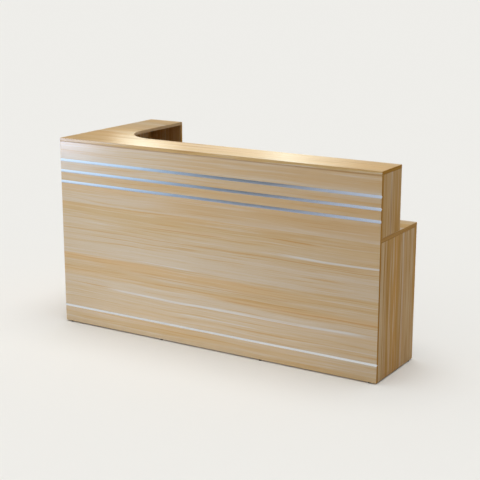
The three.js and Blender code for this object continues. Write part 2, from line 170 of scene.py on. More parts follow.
class Graph:
    """The node graph of one material or world."""

    def __init__(self, owner: bpy.types.Material | bpy.types.World) -> None:
        """Starts an empty graph.

        Args:
            owner: The material or world that it belongs to.
        """
        owner.use_nodes = True
        self.owner = owner
        self.tree = owner.node_tree
        self.tree.nodes.clear()

    def node(self, kind: str, settings: dict[str, Any] | None = None,
             sockets: dict[int | str, Any] | None = None, output: int | str = 0) -> Wire:
        """Makes any node.

        Args:
            kind: The node's type.
            settings: Its own settings, set first; stops are those of a ramp.
            sockets: Values or wires for its inputs, by name or number.
            output: The output that is wanted, by name or number.

        Returns:
            The wanted output.
        """
        made = self.tree.nodes.new(kind)
        for name, value in (settings or {}).items():
            if name == "stops":
                self._set_stops(made.color_ramp.elements, value)
            else:
                setattr(made, name, value)
        for name, value in (sockets or {}).items():
            if isinstance(value, Wire):
                self.tree.links.new(value.socket, made.inputs[name])
            else:
                made.inputs[name].default_value = value
        return Wire(self, made.outputs[output] if made.outputs else None)

    @staticmethod
    def _set_stops(elements: Any, stops: Sequence[tuple[float, Colour]]) -> None:
        """Sets a ramp's stops.

        Args:
            elements: The ramp's elements.
            stops: Place and colour of each stop, in order.
        """
        while len(elements) < len(stops):
            elements.new(1.0)
        for element, (place, colour) in zip(elements, stops):
            element.position = place
            element.color = colour

    def coordinates(self, kind: Coordinates = Coordinates.OBJECT) -> Wire:
        """Gives coordinates of one kind."""
        return self.node("ShaderNodeTexCoord", output=kind.value)

    def axes(self, kind: Coordinates = Coordinates.OBJECT) -> dict[str, Wire]:
        """Splits coordinates into wires.

        Args:
            kind: The coordinates that are wanted.

        Returns:
            The wires by the names X, Y and Z.
        """
        split = self.node("ShaderNodeSeparateXYZ", sockets={0: self.coordinates(kind)})
        outputs = split.socket.node.outputs
        return {name: Wire(self, outputs[name]) for name in "XYZ"}

    def noise(self, x: "Wire | float", y: "Wire | float", z: "Wire | float",
              detail: float = 2.0, roughness: float = 0.5) -> Wire:
        """Makes a noise whose three coordinates are given apart.

        Args:
            x: First coordinate, in noise cells.
            y: Second coordinate.
            z: Third coordinate.
            detail: Octaves on top of the first.
            roughness: How much each octave adds.

        Returns:
            The noise, about 0.5 with a spread of about 0.1.
        """
        where = self.node("ShaderNodeCombineXYZ", sockets={0: x, 1: y, 2: z})
        return self.node("ShaderNodeTexNoise", {"noise_dimensions": "3D"},
                         {"Vector": where, "Scale": 1.0, "Detail": detail, "Roughness": roughness})

    def ramp(self, factor: Wire, stops: Sequence[tuple[float, Colour]]) -> Wire:
        """Turns a value into a colour by a ramp with these stops."""
        return self.node("ShaderNodeValToRGB", {"stops": stops}, {0: factor})

    def speckle(self, scale: float, detail: float) -> Wire:
        """Makes an even noise on the object's own coordinates.

        Args:
            scale: Cells in a metre.
            detail: Octaves on top of the first.

        Returns:
            The noise, about 0.5.
        """
        return self.node("ShaderNodeTexNoise", sockets={
            "Vector": self.coordinates(), "Scale": scale, "Detail": detail})

    def blend(self, factor: Wire, first: "Wire | Colour", second: "Wire | Colour") -> Wire:
        """Mixes two colours.

        Args:
            factor: Share of the second colour.
            first: The colour at 0.
            second: The colour at 1.

        Returns:
            The mixed colour.
        """
        return self.node("ShaderNodeMix", {"data_type": "RGBA"},
                         {0: factor, 6: first, 7: second}, output=2)

    def bump(self, height: Wire, strength: float, distance: float) -> Wire:
        """Turns a height into a surface normal.

        Args:
            height: The height over the surface.
            strength: Share of the effect, from 0 to 1.
            distance: Depth in metres that a height of 1 stands for.

        Returns:
            The bent normal.
        """
        return self.node("ShaderNodeBump", sockets={
            "Strength": strength, "Distance": distance, "Height": height})

    def surface(self, **sockets: Any) -> None:
        """Ends the graph in a Principled shader.

        Args:
            **sockets: Values or wires for its inputs, with _ for the spaces in their names.
        """
        named = {name.replace("_", " "): value for name, value in sockets.items()}
        shader = self.node("ShaderNodeBsdfPrincipled", sockets=named)
        self.node("ShaderNodeOutputMaterial", sockets={"Surface": shader})


def new_material(name: str) -> Graph:
    """Makes a material and gives its empty graph."""
    return Graph(bpy.data.materials.new(name))


class Grain(Enum):
    """Which way a board's grain runs: the axes along it, across it and through the board."""

    FRONT = ("X", "Z", "Y")
    LYING = ("X", "Y", "Z")
    SIDE = ("Z", "Y", "X")
    END = ("Z", "X", "Y")


class Tone(Enum):
    """Colour of a single line in the grain."""

    PALE = srgb(202, 202, 203)
    WARM = srgb(187, 150, 98)
    DARK = srgb(182, 134, 64)


@dataclass(frozen=True)
class Streak:
    """One line that runs along the grain.

    Attributes:
        across: Its middle, across the grain.
        start: Where it starts, along the grain.
        end: Where it ends.
        width: Its full width.
        tone: Its colour.
        strength: How much it covers.
    """

    across: float
    start: float
    end: float
    width: float
    tone: Tone
    strength: float

    def fade(self) -> float:
        """Gives the length over which it fades at each end, more for a wide one."""
        return 0.12 + 3.5 * self.width


@dataclass(frozen=True)
class Figure:
    """A noise that is stretched along the grain.

    Attributes:
        along: Cells in a metre along the grain.
        across: Cells in a metre across it.
        shift: Sets it apart from the board's other figures.
        detail: Octaves on top of the first.
        roughness: How much each octave adds.
        show: Noise at which it starts to show, and at which it shows in full.
        cover: How much it then covers.
    """

    along: float
    across: float
    shift: float = 0.0
    detail: float = 2.0
    roughness: float = 0.5
    show: tuple[float, float] = (0.0, 1.0)
    cover: float = 1.0


@dataclass(frozen=True)
class OakLaminate:
    """Printed light oak: greyish pale bands and honey ones, with fine lines and pores.

    Attributes:
        name: The material's name.
        grain: Which way the grain runs.
        seed: Moves the pattern, so that no two boards look alike.
        warmth: Share of the honey tone, about 0.5.
        bands: Height and warmth of the main bands, where they are known.
        streaks: Single lines on top of the pattern.
        pale: Palest tone of the bands.
        honey: Warmest tone of the bands.
        blush: Reddish tone that some bands take.
        brown: Tone of the dark lines.
        cream: Tone of the light lines.
        band_light: Paler tone of the band on the cut ends.
        band_dark: Darker tone of that band.
        contrast: How much the lines cover the bands.
        spread: How wide the lines are, 1 on the front panel.
        gloss: Roughness of the top layer.
        ior: Its refractive index, low where the board is matt.
        face: Where the seen face lies on the axis through the board.
        seam_shadow: Where the painted shadow line lies at which another board meets the face, if one does.
        seam_shadow_half: Half the width of that painted shadow line, without and with its soft rim.
        seam_shadow_cover: How much it covers.
        sway: Long waves of the grain.
        sway_reach: How far they carry it, in metres at full swing.
        ripple: Short waves of the grain.
        ripple_reach: How far these carry it.
        drift: Slow change of the main bands along the board.
        cloud: Main bands, where they aren't known.
        middle: Lines that the eye sees from afar.
        fine: Lines that it sees from close by.
        peach: Patches that take the reddish tone.
        dark_lines: Where in the lines the dark tone starts, and is full.
        light_lines: The same for the light tone.
        light_cover: Cover of the light tone as a share of that of the dark one.
        pore: Open pores.
        layers: Lines of the band on the cut ends.
        turn: Tilt at which a face starts, and is wholly, a cut end or a side.
        end_matt: How much rougher the cut ends are.
        relief_depth: Depth of the printed relief.
    """

    name: str
    grain: Grain
    seed: float
    warmth: float = 0.5
    bands: tuple[tuple[float, float], ...] = ()
    streaks: tuple[Streak, ...] = ()
    pale: Colour = srgb(193, 174, 149)
    honey: Colour = srgb(187, 154, 102)
    blush: Colour = srgb(201, 162, 114)
    brown: Colour = srgb(183, 138, 68)
    cream: Colour = srgb(200, 190, 176)
    band_light: Colour = srgb(178, 140, 86)
    band_dark: Colour = srgb(156, 114, 58)
    contrast: float = 0.55
    spread: float = 1.0
    gloss: float = 0.40
    ior: float = 1.48
    face: float = 0.0
    seam_shadow: float | None = None
    seam_shadow_half: tuple[float, float] = (2 * MM, 5 * MM)
    seam_shadow_cover: float = 0.45
    sway: Figure = Figure(0.9, 2.4)
    sway_reach: float = 0.045
    ripple: Figure = Figure(4.0, 16.0, 3.1)
    ripple_reach: float = 0.006
    drift: Figure = Figure(0.7, 6.0, 7.7)
    cloud: Figure = Figure(0.25, 8.0, 5.2, show=(0.36, 0.64))
    middle: Figure = Figure(0.8, 42.0, 11.3, 4.0, 0.62)
    fine: Figure = Figure(2.2, 170.0, 23.7, 3.0, 0.6)
    peach: Figure = Figure(0.5, 14.0, 31.3, show=(0.44, 0.68), cover=0.6)
    dark_lines: tuple[float, float] = (0.03, 0.36)
    light_lines: tuple[float, float] = (0.04, 0.36)
    light_cover: float = 0.8
    pore: Figure = Figure(28.0, 900.0, 41.9, 1.0, show=(0.56, 0.74), cover=0.16)
    layers: Figure = Figure(3.0, 420.0, 53.1, 3.0, show=(0.35, 0.65))
    turn: tuple[float, float] = (0.7, 0.9)
    end_matt: float = 0.55
    relief_depth: float = 0.12 * MM

    def material(self) -> bpy.types.Material:
        """Builds the laminate.

        Returns:
            The material, on Object coordinates.
        """
        graph = new_material(self.name)
        axes = graph.axes()
        along, across, through = (axes[name] for name in self.grain.value)
        normals = graph.axes(Coordinates.NORMAL)
        end, side = (abs(normals[name]).above(*self.turn) for name in self.grain.value[:2])
        flat = across + (through - self.face)
        sway = self._noise(graph, self.sway, along, flat) - 0.5
        ripple = self._noise(graph, self.ripple, along, flat) - 0.5
        lie = flat + sway * self.sway_reach + ripple * self.ripple_reach
        broad = self._broad(graph, along, flat + sway * (self.sway_reach / 3))
        middle = self._noise(graph, self.middle, along, lie, self.spread) - 0.5
        fine = self._noise(graph, self.fine, along, lie, self.spread) - 0.5
        tone = broad * 0.8 + middle * 1.3 + fine * 0.9 + side * 0.35 + (self.warmth - 0.45)
        colour = graph.ramp(tone, ((0.0, self.pale), (1.0, self.honey)))
        peach = self._noise(graph, self.peach, along, lie).above(*self.peach.show)
        colour = graph.blend(peach * broad * self.peach.cover, colour, self.blush)
        for streak in self.streaks:
            colour = graph.blend(self._mask(along, lie, streak), colour, streak.tone.value)
        lines = middle * 0.8 + fine * 1.3
        dark = lines.above(*self.dark_lines) * self.contrast
        colour = graph.blend(dark, colour, self.brown)
        light = (0 - lines).above(*self.light_lines) * self.contrast
        colour = graph.blend(light * self.light_cover, colour, self.cream)
        pores = self._noise(graph, self.pore, along, lie).above(*self.pore.show)
        colour = graph.blend(pores * self.pore.cover, colour, self.brown)
        # Painted shadow: a dark line along the joint where another board meets the face.
        if self.seam_shadow is not None:
            line = 1 - abs(flat - self.seam_shadow).above(*self.seam_shadow_half)
            colour = graph.blend(line * self.seam_shadow_cover, colour, self.band_dark)
        layers = self._noise(graph, self.layers, across, through)
        band = graph.ramp(layers, tuple(zip(self.layers.show, (self.band_light, self.band_dark))))
        colour = graph.blend(end, colour, band)
        relief = fine * 0.5 - pores * 0.35
        graph.surface(
            Base_Color=colour,
            Roughness=self.gloss + fine * 0.10 + pores * 0.08 + end * self.end_matt,
            IOR=self.ior,
            Normal=graph.bump(relief, 0.25, self.relief_depth))
        return graph.owner

    def _noise(self, graph: Graph, figure: Figure, along: Wire, across: Wire,
               spread: float = 1.0) -> Wire:
        """Makes one of the board's figures.

        Args:
            graph: The material's graph.
            figure: The figure.
            along: Coordinate along the grain.
            across: Coordinate across it.
            spread: How wide the figure's lines are.

        Returns:
            The noise, about 0.5.
        """
        return graph.noise(along * figure.along, across * (figure.across / spread),
                           self.seed + figure.shift, figure.detail, figure.roughness)

    def _broad(self, graph: Graph, along: Wire, lie: Wire) -> Wire:
        """Gives the warmth of the main bands.

        Args:
            graph: The material's graph.
            along: Coordinate along the grain.
            lie: Coordinate across the grain, with its waves.

        Returns:
            Warmth from 0 to 1.
        """
        if not self.bands:
            return self._noise(graph, self.cloud, along, lie).above(*self.cloud.show)
        low, high = self.bands[0][0], self.bands[-1][0]
        stops = tuple(((height - low) / (high - low), (warm, warm, warm, 1.0))
                      for height, warm in self.bands)
        main = graph.ramp((lie - low) / (high - low), stops)
        drift = self._noise(graph, self.drift, along, lie) - 0.5
        return main * 1.3 - 0.14 + drift * 0.6

    @staticmethod
    def _mask(along: Wire, lie: Wire, streak: Streak) -> Wire:
        """Gives where one line covers the board.

        Args:
            along: Coordinate along the grain.
            lie: Coordinate across the grain.
            streak: The line.

        Returns:
            Its cover from 0 to 1.
        """
        fade = streak.fade()
        half = streak.width / 2
        body = 1 - abs(lie - streak.across).above(half * 0.3, half)
        starts = along.above(streak.start, streak.start + fade)
        ends = 1 - along.above(streak.end - fade, streak.end)
        return body * starts * ends * streak.strength


@dataclass(frozen=True)
class OakEdge:
    """Edge band glued round the free edge of a top, with its grain along the edge.

    Attributes:
        name: The material's name.
        light: Paler tone.
        dark: Darker tone.
        gloss: Middle roughness.
        ior: Refractive index of its lacquer.
        line_cells: Lines in a metre of its width.
        cloud_cells: Clouds in a metre of its width.
    """

    name: str
    light: Colour = srgb(190, 160, 114)
    dark: Colour = srgb(162, 124, 74)
    gloss: float = 0.42
    ior: float = 1.48
    line_cells: float = 420.0
    cloud_cells: float = 30.0

    def material(self) -> bpy.types.Material:
        """Builds the edge band's finish.

        Returns:
            The material, on Object coordinates.
        """
        graph = new_material(self.name)
        axes = graph.axes()
        x, y, z = (axes[name] for name in "XYZ")
        lines = graph.noise(x * 2.0, y * 2.0, z * self.line_cells, 3.0, 0.6)
        clouds = graph.noise(x * 5.0, y * 5.0, z * self.cloud_cells)
        tone = (lines - 0.5) * 2.2 + (clouds - 0.5) * 1.2 + 0.5
        colour = graph.ramp(tone, ((0.0, self.light), (1.0, self.dark)))
        graph.surface(
            Base_Color=colour,
            Roughness=self.gloss + (lines - 0.5) * 0.2,
            IOR=self.ior,
            Normal=graph.bump(lines, 0.2, 0.1 * MM))
        return graph.owner


@dataclass(frozen=True)
class BrushedAluminium:
    """Clear anodised aluminium, brushed along its length.

    Attributes:
        name: The material's name.
        light: Brighter lines.
        dull: Duller lines.
        gloss: Middle roughness.
        brush_cells: Brush lines in a metre of a strip's width.
        cloud_cells: Clouds in a metre of its width.
    """

    name: str
    light: Colour = srgb(240, 243, 247)
    dull: Colour = srgb(224, 228, 234)
    gloss: float = 0.30
    brush_cells: float = 2600.0
    cloud_cells: float = 40.0

    def material(self) -> bpy.types.Material:
        """Builds the brushed metal.

        Returns:
            The material, on Object coordinates.
        """
        graph = new_material(self.name)
        axes = graph.axes()
        x, y, z = (axes[name] for name in "XYZ")
        brush = graph.noise(x * 3.0, y * self.brush_cells, z * self.brush_cells, roughness=0.6)
        cloud = graph.noise(x * 6.0, y * self.cloud_cells, z * self.cloud_cells)
        tone = (brush - 0.5) * 2.0 + (cloud - 0.5) * 0.8 + 0.5
        graph.surface(
            Base_Color=graph.ramp(tone, ((0.0, self.dull), (1.0, self.light))),
            Metallic=1.0,
            Roughness=self.gloss + (brush - 0.5) * 0.16,
            Normal=graph.bump(brush, 0.10, 0.02 * MM))
        return graph.owner


@dataclass(frozen=True)
class ZincPlate:
    """Bright zinc on pressed steel, with a faint spangle and handling marks.

    Attributes:
        name: The material's name.
        bright: Bright grains.
        dull: Dull grains.
        gloss: Least roughness.
        grain_cells: Grains in a metre.
        mark_cells: Handling marks in a metre.
    """

    name: str
    bright: Colour = srgb(200, 203, 206)
    dull: Colour = srgb(162, 165, 168)
    gloss: float = 0.30
    grain_cells: float = 420.0
    mark_cells: float = 160.0

    def material(self) -> bpy.types.Material:
        """Builds the zinc plating.

        Returns:
            The material, on Object coordinates.
        """
        graph = new_material(self.name)
        grains = graph.node("ShaderNodeTexVoronoi", output="Color", sockets={
            "Vector": graph.coordinates(), "Scale": self.grain_cells})
        marks = graph.speckle(self.mark_cells, 4.0)
        tone = graph.node("ShaderNodeSeparateColor", sockets={0: grains}) * 0.6 + marks * 0.4
        graph.surface(
            Base_Color=graph.ramp(tone, ((0.1, self.dull), (0.9, self.bright))),
            Metallic=1.0,
            Roughness=self.gloss + tone * 0.22,
            Normal=graph.bump(marks, 0.15, 0.05 * MM))
        return graph.owner


@dataclass(frozen=True)
class MouldedPlastic:
    """Plastic with the fine spark texture of a mould.

    Attributes:
        name: The material's name.
        colour: Main colour.
        worn: Colour of its lighter flecks.
        gloss: Middle roughness.
        spark_cells: Sparks in a metre.
        flow_cells: Flow marks in a metre.
    """

    name: str
    colour: Colour
    worn: Colour
    gloss: float = 0.5
    spark_cells: float = 1500.0
    flow_cells: float = 70.0

    def material(self) -> bpy.types.Material:
        """Builds the moulded plastic.

        Returns:
            The material, on Object coordinates.
        """
        graph = new_material(self.name)
        spark = graph.speckle(self.spark_cells, 2.0)
        flow = graph.speckle(self.flow_cells, 3.0)
        tone = (spark - 0.5) * 1.2 + (flow - 0.5) * 1.4 + 0.35
        graph.surface(
            Base_Color=graph.ramp(tone, ((0.0, self.colour), (1.0, self.worn))),
            Roughness=self.gloss + (spark - 0.5) * 0.3,
            Normal=graph.bump(spark, 0.3, 0.03 * MM))
        return graph.owner


def coat(piece: bpy.types.Object, material: bpy.types.Material) -> None:
    """Gives a piece one finish."""
    piece.data.materials.clear()
    piece.data.materials.append(material)


def dress(names: Iterable[str], material: bpy.types.Material) -> None:
    """Gives CAD nodes their finish.

    Args:
        names: The nodes.
        material: Their finish.
    """
    for name in names:
        coat(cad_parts[name], material)
        LOG.info("dressed %s in %s", name, material.name)


class Element(Enum):
    """What is selected on a mesh."""

    FACE = "FACE"
    EDGE = "EDGE"


class Workbench:
    """A new piece that is shaped in edit mode and finished with modifiers."""

    def __init__(self, name: str) -> None:
        """Takes the active object as the piece.

        Args:
            name: The piece's name.
        """
        self.piece = bpy.context.object
        self.piece.name = name
        self.piece.data.name = name

    @staticmethod
    def clear() -> None:
        """Leaves nothing selected, so that an operator acts on the new piece alone."""
        if bpy.context.object and bpy.context.object.mode != "OBJECT":
            bpy.ops.object.mode_set(mode="OBJECT")
        bpy.ops.object.select_all(action="DESELECT")

    @classmethod
    def pick(cls, *pieces: bpy.types.Object) -> None:
        """Selects some objects alone.

        Args:
            *pieces: The objects, the active one first.
        """
        cls.clear()
        for piece in pieces:
            piece.select_set(True)
        bpy.context.view_layer.objects.active = pieces[0]

    @staticmethod
    def apply() -> None:
        """Puts the selected object's place, turn and size into its mesh."""
        bpy.ops.object.transform_apply(location=True, rotation=True, scale=True)

    @classmethod
    def disc(cls, name: str, sides: int, radius: float, low: float, high: float) -> "Workbench":
        """Starts from an upright cylinder on the origin.

        Args:
            name: The piece's name.
            sides: Its number of sides.
            radius: Its radius.
            low: Height of its lower face.
            high: Height of its upper face.

        Returns:
            The piece on the bench.
        """
        cls.clear()
        bpy.ops.mesh.primitive_cylinder_add(
            vertices=sides, radius=radius, depth=high - low, location=(0, 0, (low + high) / 2))
        cls.apply()
        return cls(name)

    @classmethod
    def block(cls, name: str, low: Place, high: Place) -> "Workbench":
        """Starts from a box between two corners.

        Args:
            name: The piece's name.
            low: Its lowest corner.
            high: Its highest corner.

        Returns:
            The piece on the bench.
        """
        cls.clear()
        size = Vector(high) - Vector(low)
        middle = (Vector(high) + Vector(low)) / 2
        bpy.ops.mesh.primitive_cube_add(size=1, location=middle, scale=size)
        cls.apply()
        return cls(name)

    def _select(self, kind: Element, items: Callable[[], Iterable[tuple[Any, bool]]]) -> "Workbench":
        """Selects faces or edges in code and goes into edit mode.

        Args:
            kind: What is selected.
            items: Gives each item with whether it is wanted.

        Returns:
            The bench, for the next step.
        """
        bpy.ops.object.mode_set(mode="EDIT")
        bpy.ops.mesh.select_mode(type=kind.value)
        bpy.ops.mesh.select_all(action="DESELECT")
        bpy.ops.object.mode_set(mode="OBJECT")
        for item, wanted in items():
            item.select = wanted
        bpy.ops.object.mode_set(mode="EDIT")
        return self

    def faces(self, where: Callable[[Vector, Vector], bool]) -> "Workbench":
        """Selects faces by their middle and normal."""
        return self._select(Element.FACE, lambda: [
            (face, where(face.center, face.normal)) for face in self.piece.data.polygons])

    def tops(self) -> "Workbench":
        """Selects the faces that look straight up."""
        return self.faces(lambda middle, normal: normal.z > LEVEL)

    def undersides(self) -> "Workbench":
        """Selects the faces that look straight down."""
        return self.faces(lambda middle, normal: normal.z < -LEVEL)

    def edges(self, where: Callable[[Vector, Vector], bool]) -> "Workbench":
        """Selects edges by their two ends.

        Args:
            where: Tells from its ends whether an edge is wanted.

        Returns:
            The bench, for the next step.
        """
        def found() -> list[tuple[Any, bool]]:
            """Pairs each edge with whether it is wanted."""
            points = self.piece.data.vertices
            return [(edge, where(*(points[i].co for i in edge.vertices)))
                    for edge in self.piece.data.edges]

        return self._select(Element.EDGE, found)

    def inset(self, thickness: float, depth: float = 0.0, each: bool = False) -> "Workbench":
        """Insets the selected faces by a thickness, and moves them by a depth."""
        bpy.ops.mesh.inset(thickness=thickness, depth=depth, use_individual=each)
        return self

    def extrude(self, offset: Place, narrow: float = 1.0) -> "Workbench":
        """Extrudes the selected faces.

        Args:
            offset: How far they move.
            narrow: Their new width as a share of the old one.

        Returns:
            The bench, for the next step.
        """
        bpy.ops.mesh.extrude_region_move(TRANSFORM_OT_translate={"value": offset})
        return self.narrow(narrow) if narrow != 1.0 else self

    def narrow(self, share: float) -> "Workbench":
        """Narrows what is selected about the upright axis, to a share of its width."""
        bpy.ops.transform.resize(value=(share, share, 1.0), center_override=(0, 0, 0))
        return self

    def bevel(self, width: float, segments: int) -> "Workbench":
        """Rounds the selected edges."""
        bpy.ops.mesh.bevel(offset=width, segments=segments, profile=0.5)
        return self

    def cut(self, tool: "Workbench") -> "Workbench":
        """Cuts another piece out of this one and throws the cutter away.

        Args:
            tool: The cutter.

        Returns:
            The bench, for the next step.
        """
        self.pick(self.piece)
        modifier = self.piece.modifiers.new("cut", "BOOLEAN")
        modifier.operation = "DIFFERENCE"
        modifier.solver = "EXACT"
        modifier.object = tool.piece
        bpy.ops.object.modifier_apply(modifier=modifier.name)
        bpy.data.objects.remove(tool.piece)
        return self

    def remove(self) -> "Workbench":
        """Deletes the selected faces."""
        bpy.ops.mesh.delete(type="FACE")
        return self

    def bridge(self) -> "Workbench":
        """Joins the two selected rims by a ring of faces."""
        bpy.ops.mesh.bridge_edge_loops()
        return self

    def wind(self, pitch: float, turns: int, steps: int) -> "Workbench":
        """Winds the piece's outline into a closed rib up the Z axis.

        Args:
            pitch: Rise of one turn.
            turns: Number of turns.
            steps: Steps in one turn.

        Returns:
            The bench, for the next step.
        """
        bpy.ops.mesh.delete(type="ONLY_FACE")
        self.pick(self.piece)
        screw = self.piece.modifiers.new("wind", "SCREW")
        screw.screw_offset = pitch
        screw.iterations = turns
        screw.steps = steps
        bpy.ops.object.modifier_apply(modifier=screw.name)
        bpy.ops.object.mode_set(mode="EDIT")
        bpy.ops.mesh.select_all(action="SELECT")
        bpy.ops.mesh.fill_holes(sides=4)
        bpy.ops.mesh.normals_make_consistent(inside=False)
        return self

    def join(self, other: "Workbench") -> "Workbench":
        """Takes another piece into this one.

        Args:
            other: The other piece.

        Returns:
            The bench, for the next step.
        """
        self.pick(self.piece, other.piece)
        bpy.ops.object.join()
        return self

    def done(self, angle: float = 30.0) -> bpy.types.Object:
        """Leaves edit mode, smooths the round faces and gives the finished master.

        Args:
            angle: Edges sharper than this stay crisp, in degrees.

        Returns:
            The finished object.
        """
        self.pick(self.piece)
        bpy.ops.object.shade_smooth_by_angle(angle=math.radians(angle))
        return self.piece


def copies(master: bpy.types.Object, name: str, places: Iterable[Matrix]) -> bpy.types.Object:
    """Copies a master to each place and joins the copies into one piece.

    Args:
        master: The finished shape, on the origin.
        name: The new piece's name.
        places: Where each copy goes.

    Returns:
        The new piece, with its place in its mesh.
    """
    made = []
    for place in places:
        Workbench.pick(master)
        bpy.ops.object.duplicate(linked=False)
        copy = bpy.context.object
        copy.matrix_world = place
        Workbench.apply()
        made.append(copy)
    Workbench.pick(*made)
    if len(made) > 1:
        bpy.ops.object.join()
    return Workbench(name).piece


def facing(direction: Place, at: Vector) -> Matrix:
    """Places a shape so that its +Z points in a direction."""
    turn = Vector(direction).to_track_quat("Z", "Y")
    return Matrix.Translation(at) @ turn.to_matrix().to_4x4()


def settle(piece: bpy.types.Object, body: str, material: bpy.types.Material) -> None:
    """Dresses a new piece and makes it ride on its body.

    Args:
        piece: The new piece.
        body: The CAD body that it moves with.
        material: Its finish.
    """
    coat(piece, material)
    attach(piece, body)
    LOG.info("built %s on %s in %s", piece.name, body, material.name)


@dataclass
class Boards:
    """The laminate boards and the bent edge bands of the two tops.

    Attributes:
        front_bands: Height and warmth of the front panel's main bands.
        front_streaks: Single lines of the front panel.
        upper_streaks: Single lines of the upper right end panel.
        lower_streaks: Single lines of the lower right end panel.
        seam_shadow_drop: From the front panel's upper edge down to its painted seam shadow.
    """

    front_bands: tuple[tuple[float, float], ...] = (
        (0.000, 0.60), (0.088, 0.42), (0.100, 0.25), (0.170, 0.34), (0.225, 0.36), (0.240, 0.06),
        (0.285, 0.14), (0.300, 0.58), (0.345, 0.48), (0.395, 0.66), (0.421, 0.82), (0.427, 0.06),
        (0.520, 0.16), (0.565, 0.22), (0.580, 0.60), (0.610, 0.40), (0.650, 0.58), (0.721, 0.82),
        (0.727, 0.02), (0.765, 0.06), (0.800, 0.42), (0.822, 0.56), (0.893, 0.42), (0.905, 0.30),
        (0.930, 0.08), (0.985, 0.20), (1.067, 0.38))
    front_streaks: tuple[Streak, ...] = (
        Streak(1.020, -0.48, 1.60, 0.110, Tone.WARM, 0.55),
        Streak(0.930, -0.32, 1.60, 0.060, Tone.WARM, 0.40),
        Streak(0.870, -0.32, 1.60, 0.060, Tone.WARM, 0.45),
        Streak(0.778, -0.60, 1.60, 0.120, Tone.WARM, 0.65),
        Streak(0.806, -1.30, -0.25, 0.036, Tone.WARM, 0.40),
        Streak(0.702, -0.50, 1.60, 0.044, Tone.WARM, 0.40),
        Streak(0.601, 0.40, 1.40, 0.014, Tone.PALE, 0.65),
        Streak(0.237, -0.75, 1.00, 0.018, Tone.PALE, 0.70),
        Streak(0.434, -0.55, -0.05, 0.009, Tone.PALE, 0.60),
        Streak(0.175, -0.25, 0.35, 0.007, Tone.PALE, 0.55),
        Streak(0.680, 0.28, 0.72, 0.008, Tone.DARK, 0.80),
        Streak(0.648, -0.42, 0.15, 0.009, Tone.DARK, 0.70),
        Streak(0.576, -1.20, 1.00, 0.008, Tone.DARK, 0.40),
        Streak(0.297, 0.00, 1.20, 0.010, Tone.DARK, 0.60),
        Streak(0.352, -0.50, 0.60, 0.010, Tone.DARK, 0.45))
    upper_streaks: tuple[Streak, ...] = (
        Streak(0.682, 0.40, 1.60, 0.022, Tone.PALE, 0.32),)
    lower_streaks: tuple[Streak, ...] = (
        Streak(0.843, -0.40, 1.20, 0.032, Tone.PALE, 0.27),
        Streak(0.750, -0.60, 1.40, 0.110, Tone.DARK, 0.55),
        Streak(1.000, -0.60, 1.40, 0.090, Tone.DARK, 0.60))
    seam_shadow_drop: float = 3 * MM

    def dress(self) -> None:
        """Gives each board a laminate of its own."""
        # Painted shade: the band on the cut ends of the front panel and the counter takes darker tones,
        # which paint in the shade that these ends lie in.
        painted_shade_band = {"band_light": srgb(166, 122, 48), "band_dark": srgb(146, 100, 26)}
        # Painted shade: the upright boards take a darker, warmer palette than the tops, which paints in
        # the shade that they stand in; its low IOR keeps them from mirroring the pale floor.
        painted_shade_palette = {"pale": srgb(194, 168, 132), "honey": srgb(174, 134, 76), "brown": srgb(156, 114, 56),
                  "cream": srgb(200, 186, 164), "contrast": 0.9, "spread": 2.0, "ior": 1.05}
        low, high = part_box("front_panel")
        finishes = {
            "front_panel": OakLaminate(
                "oak_front_panel", Grain.FRONT, 1.0, bands=self.front_bands, streaks=self.front_streaks,
                face=low.y, seam_shadow=high.z - self.seam_shadow_drop, **painted_shade_band),
            "counter_top": OakLaminate(
                "oak_counter_top", Grain.LYING, 12.4, 0.85, brown=srgb(146, 98, 34),
                contrast=1.0, spread=2.4, gloss=0.32, ior=1.3, **painted_shade_band),
            "worktop": OakLaminate(
                "oak_worktop", Grain.LYING, 25.9, 0.65, contrast=0.9, spread=2.0, ior=1.2),
            "left_side_panel": OakLaminate("oak_left_side_panel", Grain.SIDE, 37.2, 0.7, **painted_shade_palette),
            "right_end_panel_upper": OakLaminate(
                "oak_right_end_upper", Grain.SIDE, 44.6, 0.9, streaks=self.upper_streaks, **painted_shade_palette),
            "right_end_panel_lower": OakLaminate(
                "oak_right_end_lower", Grain.SIDE, 58.3, 0.55, streaks=self.lower_streaks, **painted_shade_palette),
            "return_end_panel_upper": OakLaminate("oak_return_end_upper", Grain.END, 63.5, 0.75, **painted_shade_palette),
            "return_end_panel_lower": OakLaminate("oak_return_end_lower", Grain.END, 71.8, 0.6, **painted_shade_palette),
            "support_panel": OakLaminate("oak_support_panel", Grain.SIDE, 86.1, 0.6, **painted_shade_palette),
            "counter_divider": OakLaminate("oak_counter_divider", Grain.SIDE, 94.7, 0.6, **painted_shade_palette),
        }
        for name, finish in finishes.items():
            dress([name], finish.material())
        dress(["counter_edge_band", "worktop_edge_band"], OakEdge("oak_edge_band").material())


@dataclass
class Trim:
    """The aluminium strips in the front panel.

    Attributes:
        nodes: Their names.
    """

    nodes: tuple[str, ...] = (
        "trim_strip_upper_1", "trim_strip_upper_2", "trim_strip_upper_3", "trim_strip_toe")

    def dress(self) -> None:
        """Gives the strips their brushed finish."""
        dress(self.nodes, BrushedAluminium("brushed_aluminium").material())


